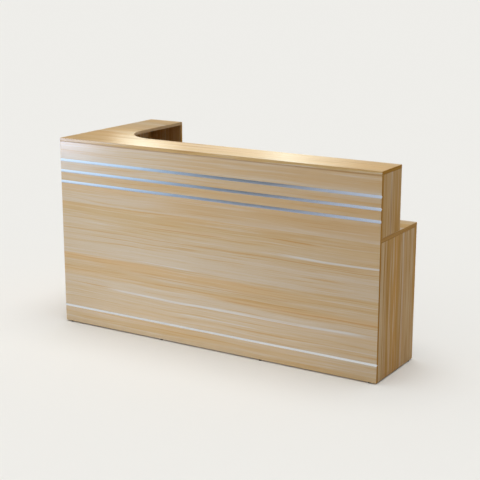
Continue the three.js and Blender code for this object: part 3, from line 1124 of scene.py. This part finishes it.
@dataclass
class Brackets:
    """The steel angle brackets and the screws in their holes.

    Attributes:
        head_radius: Radius of a screw's head.
        head_height: Height of the head.
        recess_width: Width of one arm of the cross recess.
        recess_span: Length across the cross.
        recess_depth: Depth of the cross.
        recess_taper: Width of an arm at its bottom, as a share of that at its top.
        crown: Share of the head's height that is rounded.
        crown_steps: Share of the rounded height, and narrowing, of each of its rings.
        crisp: Edges of the head that are sharper than this stay crisp, in degrees.
        plate: Thickness of a bracket.
        hole_reach: From the bracket's corner to its holes.
        hole_pitch: Between the two holes of a leg.
        sides: Sides of a screw's head.
        nodes: Names of the brackets.
    """

    head_radius: float = 4.1 * MM
    head_height: float = 2.3 * MM
    recess_width: float = 1.1 * MM
    recess_span: float = 4.4 * MM
    recess_depth: float = 1.5 * MM
    recess_taper: float = 0.7
    crown: float = 0.45
    crown_steps: tuple[tuple[float, float], ...] = ((0.55, 0.86), (0.30, 0.78), (0.15, 0.70))
    crisp: float = 35.0
    plate: float = 2.5 * MM
    hole_reach: float = 28.0 * MM
    hole_pitch: float = 16.0 * MM
    sides: int = 24
    nodes: list[str] = field(default_factory=lambda: sorted(
        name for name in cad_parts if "_bracket_" in name))

    def screw_head(self) -> bpy.types.Object:
        """Models one pan head with a cross recess, its seat on the origin.

        Returns:
            The master screw.
        """
        crown = self.crown * self.head_height
        bench = Workbench.disc("screw_master", self.sides, self.head_radius, 0.0, self.head_height - crown)
        bench.tops()
        for rise, narrow in self.crown_steps:
            bench.extrude((0, 0, crown * rise), narrow)
        half, span = self.recess_width / 2, self.recess_span / 2
        low, high = self.head_height - self.recess_depth, 2 * self.head_height
        for x, y in ((span, half), (half, span)):
            arm = Workbench.block("recess", (-x, -y, low), (x, y, high))
            bench.cut(arm.undersides().narrow(self.recess_taper))
        return bench.done(self.crisp)

    def places(self, name: str) -> list[Matrix]:
        """Gives where the four screws of a bracket sit.

        Args:
            name: The bracket's node.

        Returns:
            Each screw's place.
        """
        low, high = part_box(name)
        along, out = ((1, 0, 0), (0, 1, 0)) if "_front_" in name else ((0, 1, 0), (1, 0, 0))
        middle = (low + high) / 2
        corner = Vector((middle.x, low.y, high.z)) if along[0] else Vector((low.x, middle.y, high.z))
        made = []
        for side in (-0.5, 0.5):
            start = corner + Vector(along) * self.hole_pitch * side
            under = start + Vector(out) * self.hole_reach - Vector((0, 0, self.plate))
            against = start - Vector((0, 0, self.hole_reach)) + Vector(out) * self.plate
            made += [facing((0, 0, -1), under), facing(out, against)]
        return made

    def build(self) -> None:
        """Dresses the brackets and puts their screws in."""
        dress(self.nodes, ZincPlate("zinc_plate").material())
        screws = ZincPlate("zinc_screws", srgb(212, 208, 190), srgb(176, 170, 148)).material()
        master = self.screw_head()
        for name in self.nodes:
            piece = copies(master, name.replace("bracket", "screws"), self.places(name))
            settle(piece, "desk", screws)
        bpy.data.objects.remove(master)


@dataclass
class FittingCovers:
    """Press-in covers over the cam fittings that pull the upright boards together.

    Attributes:
        radius: Radius of a cover.
        height: How far it stands out of the board.
        rim: Width of its raised rim.
        dip: Depth of its middle.
        rounding: Radius of its edge, as a share of its height.
        inset: From the joint to the middle of a cover.
        sides: Sides of a cover.
        heights: Board, and the heights of its covers above the floor.
    """

    radius: float = 8.5 * MM
    height: float = 1.3 * MM
    rim: float = 1.4 * MM
    dip: float = 0.35 * MM
    rounding: float = 0.45
    inset: float = 34.0 * MM
    sides: int = 40
    heights: dict[str, tuple[float, ...]] = field(default_factory=lambda: {
        "left_side_panel": (0.14, 0.56, 0.94),
        "right_end_panel_lower": (0.14, 0.56),
        "right_end_panel_upper": (0.83, 0.99),
        "return_end_panel_lower": (0.14, 0.56),
        "return_end_panel_upper": (0.83, 0.99),
        "support_panel": (0.14, 0.56),
        "counter_divider": (0.90, 1.00),
    })

    def cover(self) -> bpy.types.Object:
        """Models one cover with a rounded rim and a dished middle.

        Returns:
            The master cover.
        """
        bench = Workbench.disc("cover_master", self.sides, self.radius, 0.0, self.height)
        bench.edges(lambda one, two: min(one.z, two.z) > self.height / 2)
        bench.bevel(self.height * self.rounding, segments=3)
        bench.tops().inset(self.rim).inset(self.dip, -self.dip)
        return bench.done()

    def places(self, name: str) -> list[Matrix]:
        """Gives where the covers of a board sit, on its inner face beside its joint.

        Args:
            name: The board's node.

        Returns:
            Each cover's place.
        """
        low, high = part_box(name)
        if name.startswith("return"):
            face, out = Vector((low.x + self.inset, low.y, 0)), (0, -1, 0)
        elif name.startswith("right"):
            face, out = Vector((low.x, low.y + self.inset, 0)), (-1, 0, 0)
        else:
            face, out = Vector((high.x, low.y + self.inset, 0)), (1, 0, 0)
        return [facing(out, face + Vector((0, 0, height))) for height in self.heights[name]]

    def build(self) -> None:
        """Puts the covers on their boards."""
        tan = MouldedPlastic("tan_plastic", srgb(178, 146, 98), srgb(190, 160, 114), 0.45).material()
        master = self.cover()
        for name in self.heights:
            settle(copies(master, f"covers_{name}", self.places(name)), "desk", tan)
        bpy.data.objects.remove(master)


def axis_of(node: str, height: float = 0.0) -> Matrix:
    """Gives the place on the upright axis of a round node, at a height."""
    low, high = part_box(node)
    return Matrix.Translation(((low.x + high.x) / 2, (low.y + high.y) / 2, height))


@dataclass
class LevellingFeet:
    """The levelling feet, each a fluted pad on a moulded screw, and their inserts.

    Attributes:
        count: Number of feet.
        pad_radius: Radius of a pad.
        pad_height: Its height.
        pad_round: Radius of its rims.
        flutes: Number of grip flutes round it.
        flute_wall: Wall left beside a flute.
        flute_depth: Depth of a flute.
        root_radius: Radius of the screw between its threads.
        crest_radius: Radius over its threads.
        pitch: Rise of the thread in one turn.
        screw_top: Height of the screw's end.
        screw_chamfer: Height of the chamfer there.
        screw_tip: Width of the screw's end as a share of its root.
        rib: Width of the thread at its root, as a share of the pitch.
        rib_crest: Its width at the crest, as a share of that.
        thread_steps: Steps in one turn of the thread.
    """

    count: int = 9
    pad_radius: float = 8.5 * MM
    pad_height: float = 4.0 * MM
    pad_round: float = 0.8 * MM
    flutes: int = 20
    flute_wall: float = 0.15 * MM
    flute_depth: float = 0.4 * MM
    root_radius: float = 3.45 * MM
    crest_radius: float = 4.0 * MM
    pitch: float = 1.25 * MM
    screw_top: float = 34.0 * MM
    screw_chamfer: float = 0.8 * MM
    screw_tip: float = 0.8
    rib: float = 0.8
    rib_crest: float = 0.25
    thread_steps: int = 20

    def foot(self) -> bpy.types.Object:
        """Models one foot, standing on the origin.

        Returns:
            The master foot.
        """
        step = math.pi / self.flutes
        bench = Workbench.disc("foot_master", 2 * self.flutes, self.pad_radius, 0.0, self.pad_height)
        bench.edges(lambda one, two: abs(one.z - two.z) < self.pad_round)
        bench.bevel(self.pad_round, segments=3)
        bench.faces(lambda middle, normal: abs(normal.z) < UPRIGHT
                    and round(math.atan2(middle.y, middle.x) / step - 0.5) % 2 == 0)
        bench.inset(self.flute_wall, -self.flute_depth, each=True)
        bench.tops().inset(self.pad_radius - self.pad_round - self.root_radius)
        bench.extrude((0, 0, self.screw_top - self.screw_chamfer - self.pad_height))
        bench.extrude((0, 0, self.screw_chamfer), self.screw_tip)
        return bench.join(self.thread()).done()

    def thread(self) -> Workbench:
        """Models the thread as a rib that winds up the screw.

        Returns:
            The thread on the bench.
        """
        inside = self.root_radius - self.flute_wall
        low = self.pad_height + self.pitch / 2
        turns = int((self.screw_top - self.screw_chamfer - low) / self.pitch) - 1
        Workbench.clear()
        bpy.ops.mesh.primitive_plane_add(
            size=1, location=((inside + self.crest_radius) / 2, 0, low), rotation=(math.pi / 2, 0, 0))
        bpy.context.object.scale = (self.crest_radius - inside, self.rib * self.pitch, 1)
        Workbench.apply()
        bench = Workbench("foot_thread")
        bench.edges(lambda one, two: min(one.x, two.x) > self.root_radius)
        bpy.ops.transform.resize(value=(1, 1, self.rib_crest), center_override=(0, 0, low))
        bpy.ops.mesh.select_all(action="SELECT")
        return bench.wind(self.pitch, turns, self.thread_steps)

    def build(self) -> None:
        """Dresses the inserts and screws the feet in."""
        black = MouldedPlastic("black_plastic_feet", srgb(30, 29, 28), srgb(58, 57, 55)).material()
        numbers = range(1, self.count + 1)
        dress([f"foot_insert_{i}" for i in numbers], ZincPlate("zinc_inserts").material())
        master = self.foot()
        for i in numbers:
            node = f"levelling_foot_{i}"
            piece = copies(master, f"screw_foot_{i}", [axis_of(node)])
            settle(piece, f"foot_{i}", black)
            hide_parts(node)
        bpy.data.objects.remove(master)


@dataclass
class Grommets:
    """The cable grommets in the worktop: a flanged liner and a lift-out cap with a mouth.

    Heights are above the worktop.

    Attributes:
        count: Number of grommets.
        flange_radius: Radius of the liner's flange.
        sleeve_radius: Radius of its sleeve and of the rebate for the cap.
        bore_radius: Radius of its bore.
        flange_low: Underside of the flange.
        top: Upper face of the flange and of the cap.
        ledge: Ledge that the cap lies on.
        sleeve_low: Lower end of the sleeve.
        rim_round: Radius of the flange's rim.
        cap_play: Play of the cap all round.
        lip_depth: Depth of the cap's lip.
        lip_wall: Wall of the lip.
        mouth_width: Width of the mouth for cables.
        mouth_depth: Depth of the mouth, from the rim.
        mouth_round: Radius of its corners.
        sides: Sides of the round forms.
    """

    count: int = 2
    flange_radius: float = 35.0 * MM
    sleeve_radius: float = 29.7 * MM
    bore_radius: float = 27.7 * MM
    flange_low: float = 0.3 * MM
    top: float = 3.3 * MM
    ledge: float = 1.0 * MM
    sleeve_low: float = -18.0 * MM
    rim_round: float = 1.4 * MM
    cap_play: float = 0.3 * MM
    lip_depth: float = 7.0 * MM
    lip_wall: float = 1.6 * MM
    mouth_width: float = 20.0 * MM
    mouth_depth: float = 16.0 * MM
    mouth_round: float = 2.0 * MM
    sides: int = 64

    def liner(self) -> bpy.types.Object:
        """Models one liner on the origin.

        Returns:
            The master liner.
        """
        bench = Workbench.disc("liner_master", self.sides, self.flange_radius, self.flange_low, self.top)
        bench.edges(lambda one, two: min(one.z, two.z) > self.ledge).bevel(self.rim_round, segments=4)
        bench.tops().inset(self.flange_radius - self.rim_round - self.sleeve_radius)
        bench.extrude((0, 0, self.ledge - self.top)).inset(self.sleeve_radius - self.bore_radius)
        bench.extrude((0, 0, self.sleeve_low - self.ledge)).remove()
        bench.undersides().inset(self.flange_radius - self.sleeve_radius)
        bench.extrude((0, 0, self.sleeve_low - self.flange_low)).remove()
        bench.edges(lambda one, two: max(one.z, two.z) < self.sleeve_low / 2).bridge()
        return bench.done()

    def cap(self) -> bpy.types.Object:
        """Models one cap on the origin.

        Returns:
            The master cap.
        """
        seat = self.ledge + self.cap_play
        radius = self.sleeve_radius - self.cap_play
        bench = Workbench.disc("cap_master", self.sides, radius, seat, self.top)
        bench.edges(lambda one, two: min(one.z, two.z) > (seat + self.top) / 2)
        bench.bevel(self.cap_play, segments=3)
        bench.undersides().inset(self.sleeve_radius - self.bore_radius)
        bench.extrude((0, 0, -self.lip_depth))
        bench.inset(self.lip_wall).extrude((0, 0, self.lip_depth))
        half, inner = self.mouth_width / 2, self.mouth_depth - radius
        mouth = Workbench.block("mouth", (-half, -2 * radius, -radius), (half, inner, radius))
        mouth.edges(lambda one, two: min(one.y, two.y) > -radius and abs(one.z - two.z) > radius)
        mouth.bevel(self.mouth_round, segments=4)
        return bench.cut(mouth).done()

    def build(self) -> None:
        """Puts the liners and the caps in."""
        black = MouldedPlastic("black_plastic_grommets", srgb(34, 33, 32), srgb(60, 59, 57)).material()
        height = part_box("worktop")[1].z
        for part, master in (("liner", self.liner()), ("cap", self.cap())):
            for i in range(1, self.count + 1):
                place = axis_of(f"grommet_liner_{i}", height)
                piece = copies(master, f"cable_{part}_{i}", [place])
                settle(piece, "desk" if part == "liner" else f"cap_{i}", black)
                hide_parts(f"grommet_{part}_{i}")
            bpy.data.objects.remove(master)


def look(thing: bpy.types.Object, way: Vector) -> None:
    """Turns a lamp or the camera so that it looks this way."""
    thing.rotation_mode = "QUATERNION"
    thing.rotation_quaternion = way.to_track_quat("-Z", "Y")


def light_only(lamp: bpy.types.Object, wanted: Callable[[str], bool]) -> None:
    """Lets a lamp light some pieces alone.

    Args:
        lamp: The lamp.
        wanted: Tells from its name whether a piece is lit.
    """
    lit = bpy.data.collections.new(f"lit_by_{lamp.name}")
    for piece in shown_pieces():
        if wanted(piece.name):
            lit.objects.link(piece)
    lamp.light_linking.receiver_collection = lit


def lamplight(*levels: tuple[float, float]) -> tuple[tuple[float, Colour], ...]:
    """Gives the stops of a lamp's glow from places and levels, the warmer the weaker."""
    return tuple((place, (level, level * (0.70 + 0.35 * level), level * (0.40 + 0.50 * level), 1.0))
                 for place, level in levels)


class Use(Enum):
    """What a flat lamp is for, with the switch for the rays that it then leaves out."""

    SCATTERED = "visible_glossy"
    MIRRORED = "visible_diffuse"


@dataclass(frozen=True)
class SoftBox:
    """A flat lamp that lights some pieces alone.

    Attributes:
        name: Its name.
        at: Its middle.
        aim: The point that it looks at.
        size: Its width and height.
        power: Its power in watts.
        colour: Its colour.
        use: Whether the pieces scatter its light or mirror it.
        wanted: Tells from its name whether a piece is lit.
    """

    name: str
    at: Place
    aim: Place
    size: tuple[float, float]
    power: float
    colour: tuple[float, float, float]
    use: Use
    wanted: Callable[[str], bool]

    def hang(self) -> None:
        """Hangs the lamp."""
        Workbench.clear()
        bpy.ops.object.light_add(type="AREA", location=self.at)
        lamp = bpy.context.object
        lamp.name = self.name
        lamp.data.shape = "RECTANGLE"
        lamp.data.size, lamp.data.size_y = self.size
        lamp.data.energy = self.power
        lamp.data.color = self.colour
        setattr(lamp, self.use.value, False)
        look(lamp, Vector(self.aim) - Vector(self.at))
        light_only(lamp, self.wanted)


@dataclass(frozen=True)
class Card:
    """An upright card that only shows in reflections.

    Attributes:
        name: Its name.
        at: The middle of its lower edge.
        size: Its width and height.
        stops: Its colours from left to right.
        strength: How bright it is.
        haze: How fast its colours fade below the level that the top strip mirrors, if they do.
        clear_from: Height of that level.
        haze_colour: Colour that they fade to.
    """

    name: str
    at: Place
    size: tuple[float, float]
    stops: tuple[tuple[float, Colour], ...]
    strength: float
    haze: float = 0.0
    clear_from: float = 0.67
    haze_colour: Colour = (0.22, 0.27, 0.36, 1.0)

    def stand(self) -> None:
        """Stands the card up and gives it its glow."""
        width, height = self.size
        Workbench.clear()
        bpy.ops.mesh.primitive_plane_add(size=1)
        card = bpy.context.object
        card.name = self.name
        card.matrix_world = (Matrix.Translation(Vector(self.at) + Vector((0, 0, height / 2)))
                             @ Matrix.Rotation(math.pi / 2, 4, "X")
                             @ Matrix.Diagonal((width, height, 1.0, 1.0)))
        Workbench.apply()
        graph = new_material(self.name)
        axes = graph.axes()
        colour = graph.ramp((axes["X"] - (self.at[0] - width / 2)) / width, self.stops)
        if self.haze:
            depth = (self.clear_from - axes["Z"]) * self.haze
            colour = graph.blend(depth.above(0.0, 1.0), colour, self.haze_colour)
        glow = graph.node("ShaderNodeEmission", sockets={"Color": colour, "Strength": self.strength})
        graph.node("ShaderNodeOutputMaterial", sockets={"Surface": glow})
        coat(card, graph.owner)
        for rays in ("camera", "diffuse", "transmission", "shadow"):
            setattr(card, f"visible_{rays}", False)
        card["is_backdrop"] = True


@dataclass
class Studio:
    """Pale floor, soft light and the camera.

    Attributes:
        floor_size: Width of the floor.
        floor_colour: Its colour, which is the background too.
        ambient: Strength of the light from all round.
        shade: How much of it is missing at the far right.
        key_power: Strength of the soft main lamp.
        key_from: Direction that it comes from.
        key_angle: Apparent width of the main lamp and the next one, in degrees.
        fill_power: Strength of the lamp at the front that lights the desk and not the floor.
        fill_from: Direction that it comes from.
        soft_boxes: A cool lamp at the front left whose light the boards scatter, one that the front
            panel and the counter's edge mirror, and a low one that stands for the light from the floor.
        cards: One in front that the strips mirror, and those behind that the counter mirrors.
        target: Point that the camera looks at.
        azimuth: Its angle round the desk, in degrees.
        elevation: Its angle above the horizon, in degrees.
        distance: From the target to the camera.
        lens: Its focal length, in millimetres.
        sensor: Width of its sensor, in millimetres.
        sight: How far it sees, in metres.
    """

    floor_size: float = 600.0
    floor_colour: Colour = srgb(238, 237, 233)
    ambient: float = 0.42
    shade: float = 0.6
    key_power: float = 1.84
    key_from: Place = (0.03, 0.0, 0.98)
    key_angle: float = 50.0
    fill_power: float = 0.10
    fill_from: Place = (-0.40, -0.90, 0.18)
    soft_boxes: tuple[SoftBox, ...] = (
        SoftBox("window_lamp", (-0.62, -2.25, 0.7), FRONT_LEFT_TOP, (0.70, 0.70), 14.8,
                (0.75, 0.87, 1.0), Use.SCATTERED, lambda name: not name.startswith("trim_strip")),
        SoftBox("shine_lamp", (-1.31, -0.891, 1.04), FRONT_LEFT_TOP, (0.36, 0.20), 7.6,
                (0.57, 0.72, 1.0), Use.MIRRORED, lambda name: name in ("front_panel", "counter_top")),
        SoftBox("bounce_lamp", (-0.03, -0.71, 0.06), (-0.03, -0.44, 0.06), (1.56, 0.10), 0.35,
                (1.0, 1.0, 1.0), Use.SCATTERED, lambda name: name == "front_panel"))
    cards: tuple[Card, ...] = (
        Card("front_card", (-0.75, -1.6, 0.0), (3.0, 1.6), (
            (0.10, (0.76, 0.94, 1.08, 1.0)), (0.22, (0.54, 0.74, 1.00, 1.0)),
            (0.31, (0.42, 0.60, 0.80, 1.0)), (0.41, (0.21, 0.27, 0.36, 1.0)),
            (0.50, (0.12, 0.13, 0.14, 1.0)), (0.60, (0.07, 0.08, 0.08, 1.0)),
            (0.68, (0.08, 0.08, 0.09, 1.0)), (0.78, (0.27, 0.29, 0.34, 1.0)),
            (0.88, (0.41, 0.45, 0.52, 1.0))), strength=1.4, haze=2.6),
        Card("back_card", (-0.25, 0.1, 1.10), (2.5, 0.4), lamplight(
            (0.07, 0.22), (0.20, 0.26), (0.30, 0.34), (0.38, 0.54), (0.464, 0.57), (0.60, 0.72),
            (0.663, 1.00), (0.74, 0.72), (0.861, 0.36), (0.98, 0.25)), strength=3.0),
        Card("corner_card", (-0.84, 0.09, 1.155), (0.62, 0.30), lamplight(
            (0.0, 0.15), (0.15, 0.30), (0.30, 0.72), (0.50, 1.00), (0.70, 0.85), (1.0, 0.50)),
            strength=4.0),
        Card("far_card", (-1.3, 1.5, 0.9), (4.6, 1.8), lamplight((0.0, 0.58), (1.0, 0.58)),
             strength=1.0))
    target: Place = (0.199, -0.4397, 0.6436)
    azimuth: float = 31.712
    elevation: float = 13.906
    distance: float = 6.0672
    lens: float = 87.051
    sensor: float = 36.0
    sight: float = 1000.0

    def build(self) -> None:
        """Builds the floor, the world, the lamps, the cards and the camera."""
        self.floor()
        self.world()
        self.lamp("key_lamp", self.key_power, self.key_from)
        light_only(self.lamp("fill_lamp", self.fill_power, self.fill_from), lambda name: True)
        for soft_box in self.soft_boxes:
            soft_box.hang()
        for card in self.cards:
            card.stand()
        self.camera()
        bpy.context.scene.view_settings.view_transform = "Standard"

    def floor(self) -> None:
        """Lays the floor."""
        Workbench.clear()
        bpy.ops.mesh.primitive_plane_add(size=self.floor_size)
        floor = bpy.context.object
        floor.name = "studio_floor"
        graph = new_material("studio_floor")
        graph.surface(Base_Color=self.floor_colour, Roughness=1.0, Specular_IOR_Level=0.0)
        coat(floor, graph.owner)
        floor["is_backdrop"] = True

    def world(self) -> None:
        """Makes the surrounding light, and the pale background that is seen and reflected."""
        world = bpy.data.worlds.new("studio")
        bpy.context.scene.world = world
        graph = Graph(world)
        right = graph.axes(Coordinates.GENERATED)["X"]
        light = graph.node("ShaderNodeBackground", sockets={
            0: (1.0, 1.0, 1.0, 1.0), 1: (1 - right * self.shade) * self.ambient})
        seen = graph.node("ShaderNodeBackground", sockets={0: self.floor_colour, 1: 1.0})
        path = graph.node("ShaderNodeLightPath").socket.node.outputs
        camera, glossy, clear = (Wire(graph, path[f"Is {kind} Ray"]) for kind in (
            "Camera", "Glossy", "Transmission"))
        both = graph.node("ShaderNodeMixShader", sockets={
            0: camera + glossy + clear, 1: light, 2: seen})
        graph.node("ShaderNodeOutputWorld", sockets={0: both})

    def lamp(self, name: str, power: float, source: Place) -> bpy.types.Object:
        """Hangs one distant soft lamp that doesn't show in reflections.

        Args:
            name: Its name.
            power: Its strength.
            source: Direction that it comes from.

        Returns:
            The lamp.
        """
        Workbench.clear()
        bpy.ops.object.light_add(type="SUN")
        lamp = bpy.context.object
        lamp.name = name
        lamp.data.energy = power
        lamp.data.angle = math.radians(self.key_angle)
        lamp.visible_glossy = False
        look(lamp, -Vector(source))
        return lamp

    def camera(self) -> None:
        """Sets up the camera at the photograph's angle."""
        turn, rise = math.radians(self.azimuth), math.radians(self.elevation)
        back = Vector((math.sin(turn) * math.cos(rise), -math.cos(turn) * math.cos(rise), math.sin(rise)))
        Workbench.clear()
        bpy.ops.object.camera_add(location=Vector(self.target) + back * self.distance)
        camera = bpy.context.object
        look(camera, -back)
        camera.data.lens = self.lens
        camera.data.sensor_width = self.sensor
        camera.data.clip_end = self.sight
        bpy.context.scene.camera = camera


def main() -> None:
    """Builds the sub-assemblies in order, then the studio."""
    logging.basicConfig(level=logging.INFO, format="%(name)s: %(message)s")
    Boards().dress()
    Trim().dress()
    Brackets().build()
    FittingCovers().build()
    LevellingFeet().build()
    Grommets().build()
    Studio().build()
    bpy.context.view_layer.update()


if __name__ == "__main__":
    main()
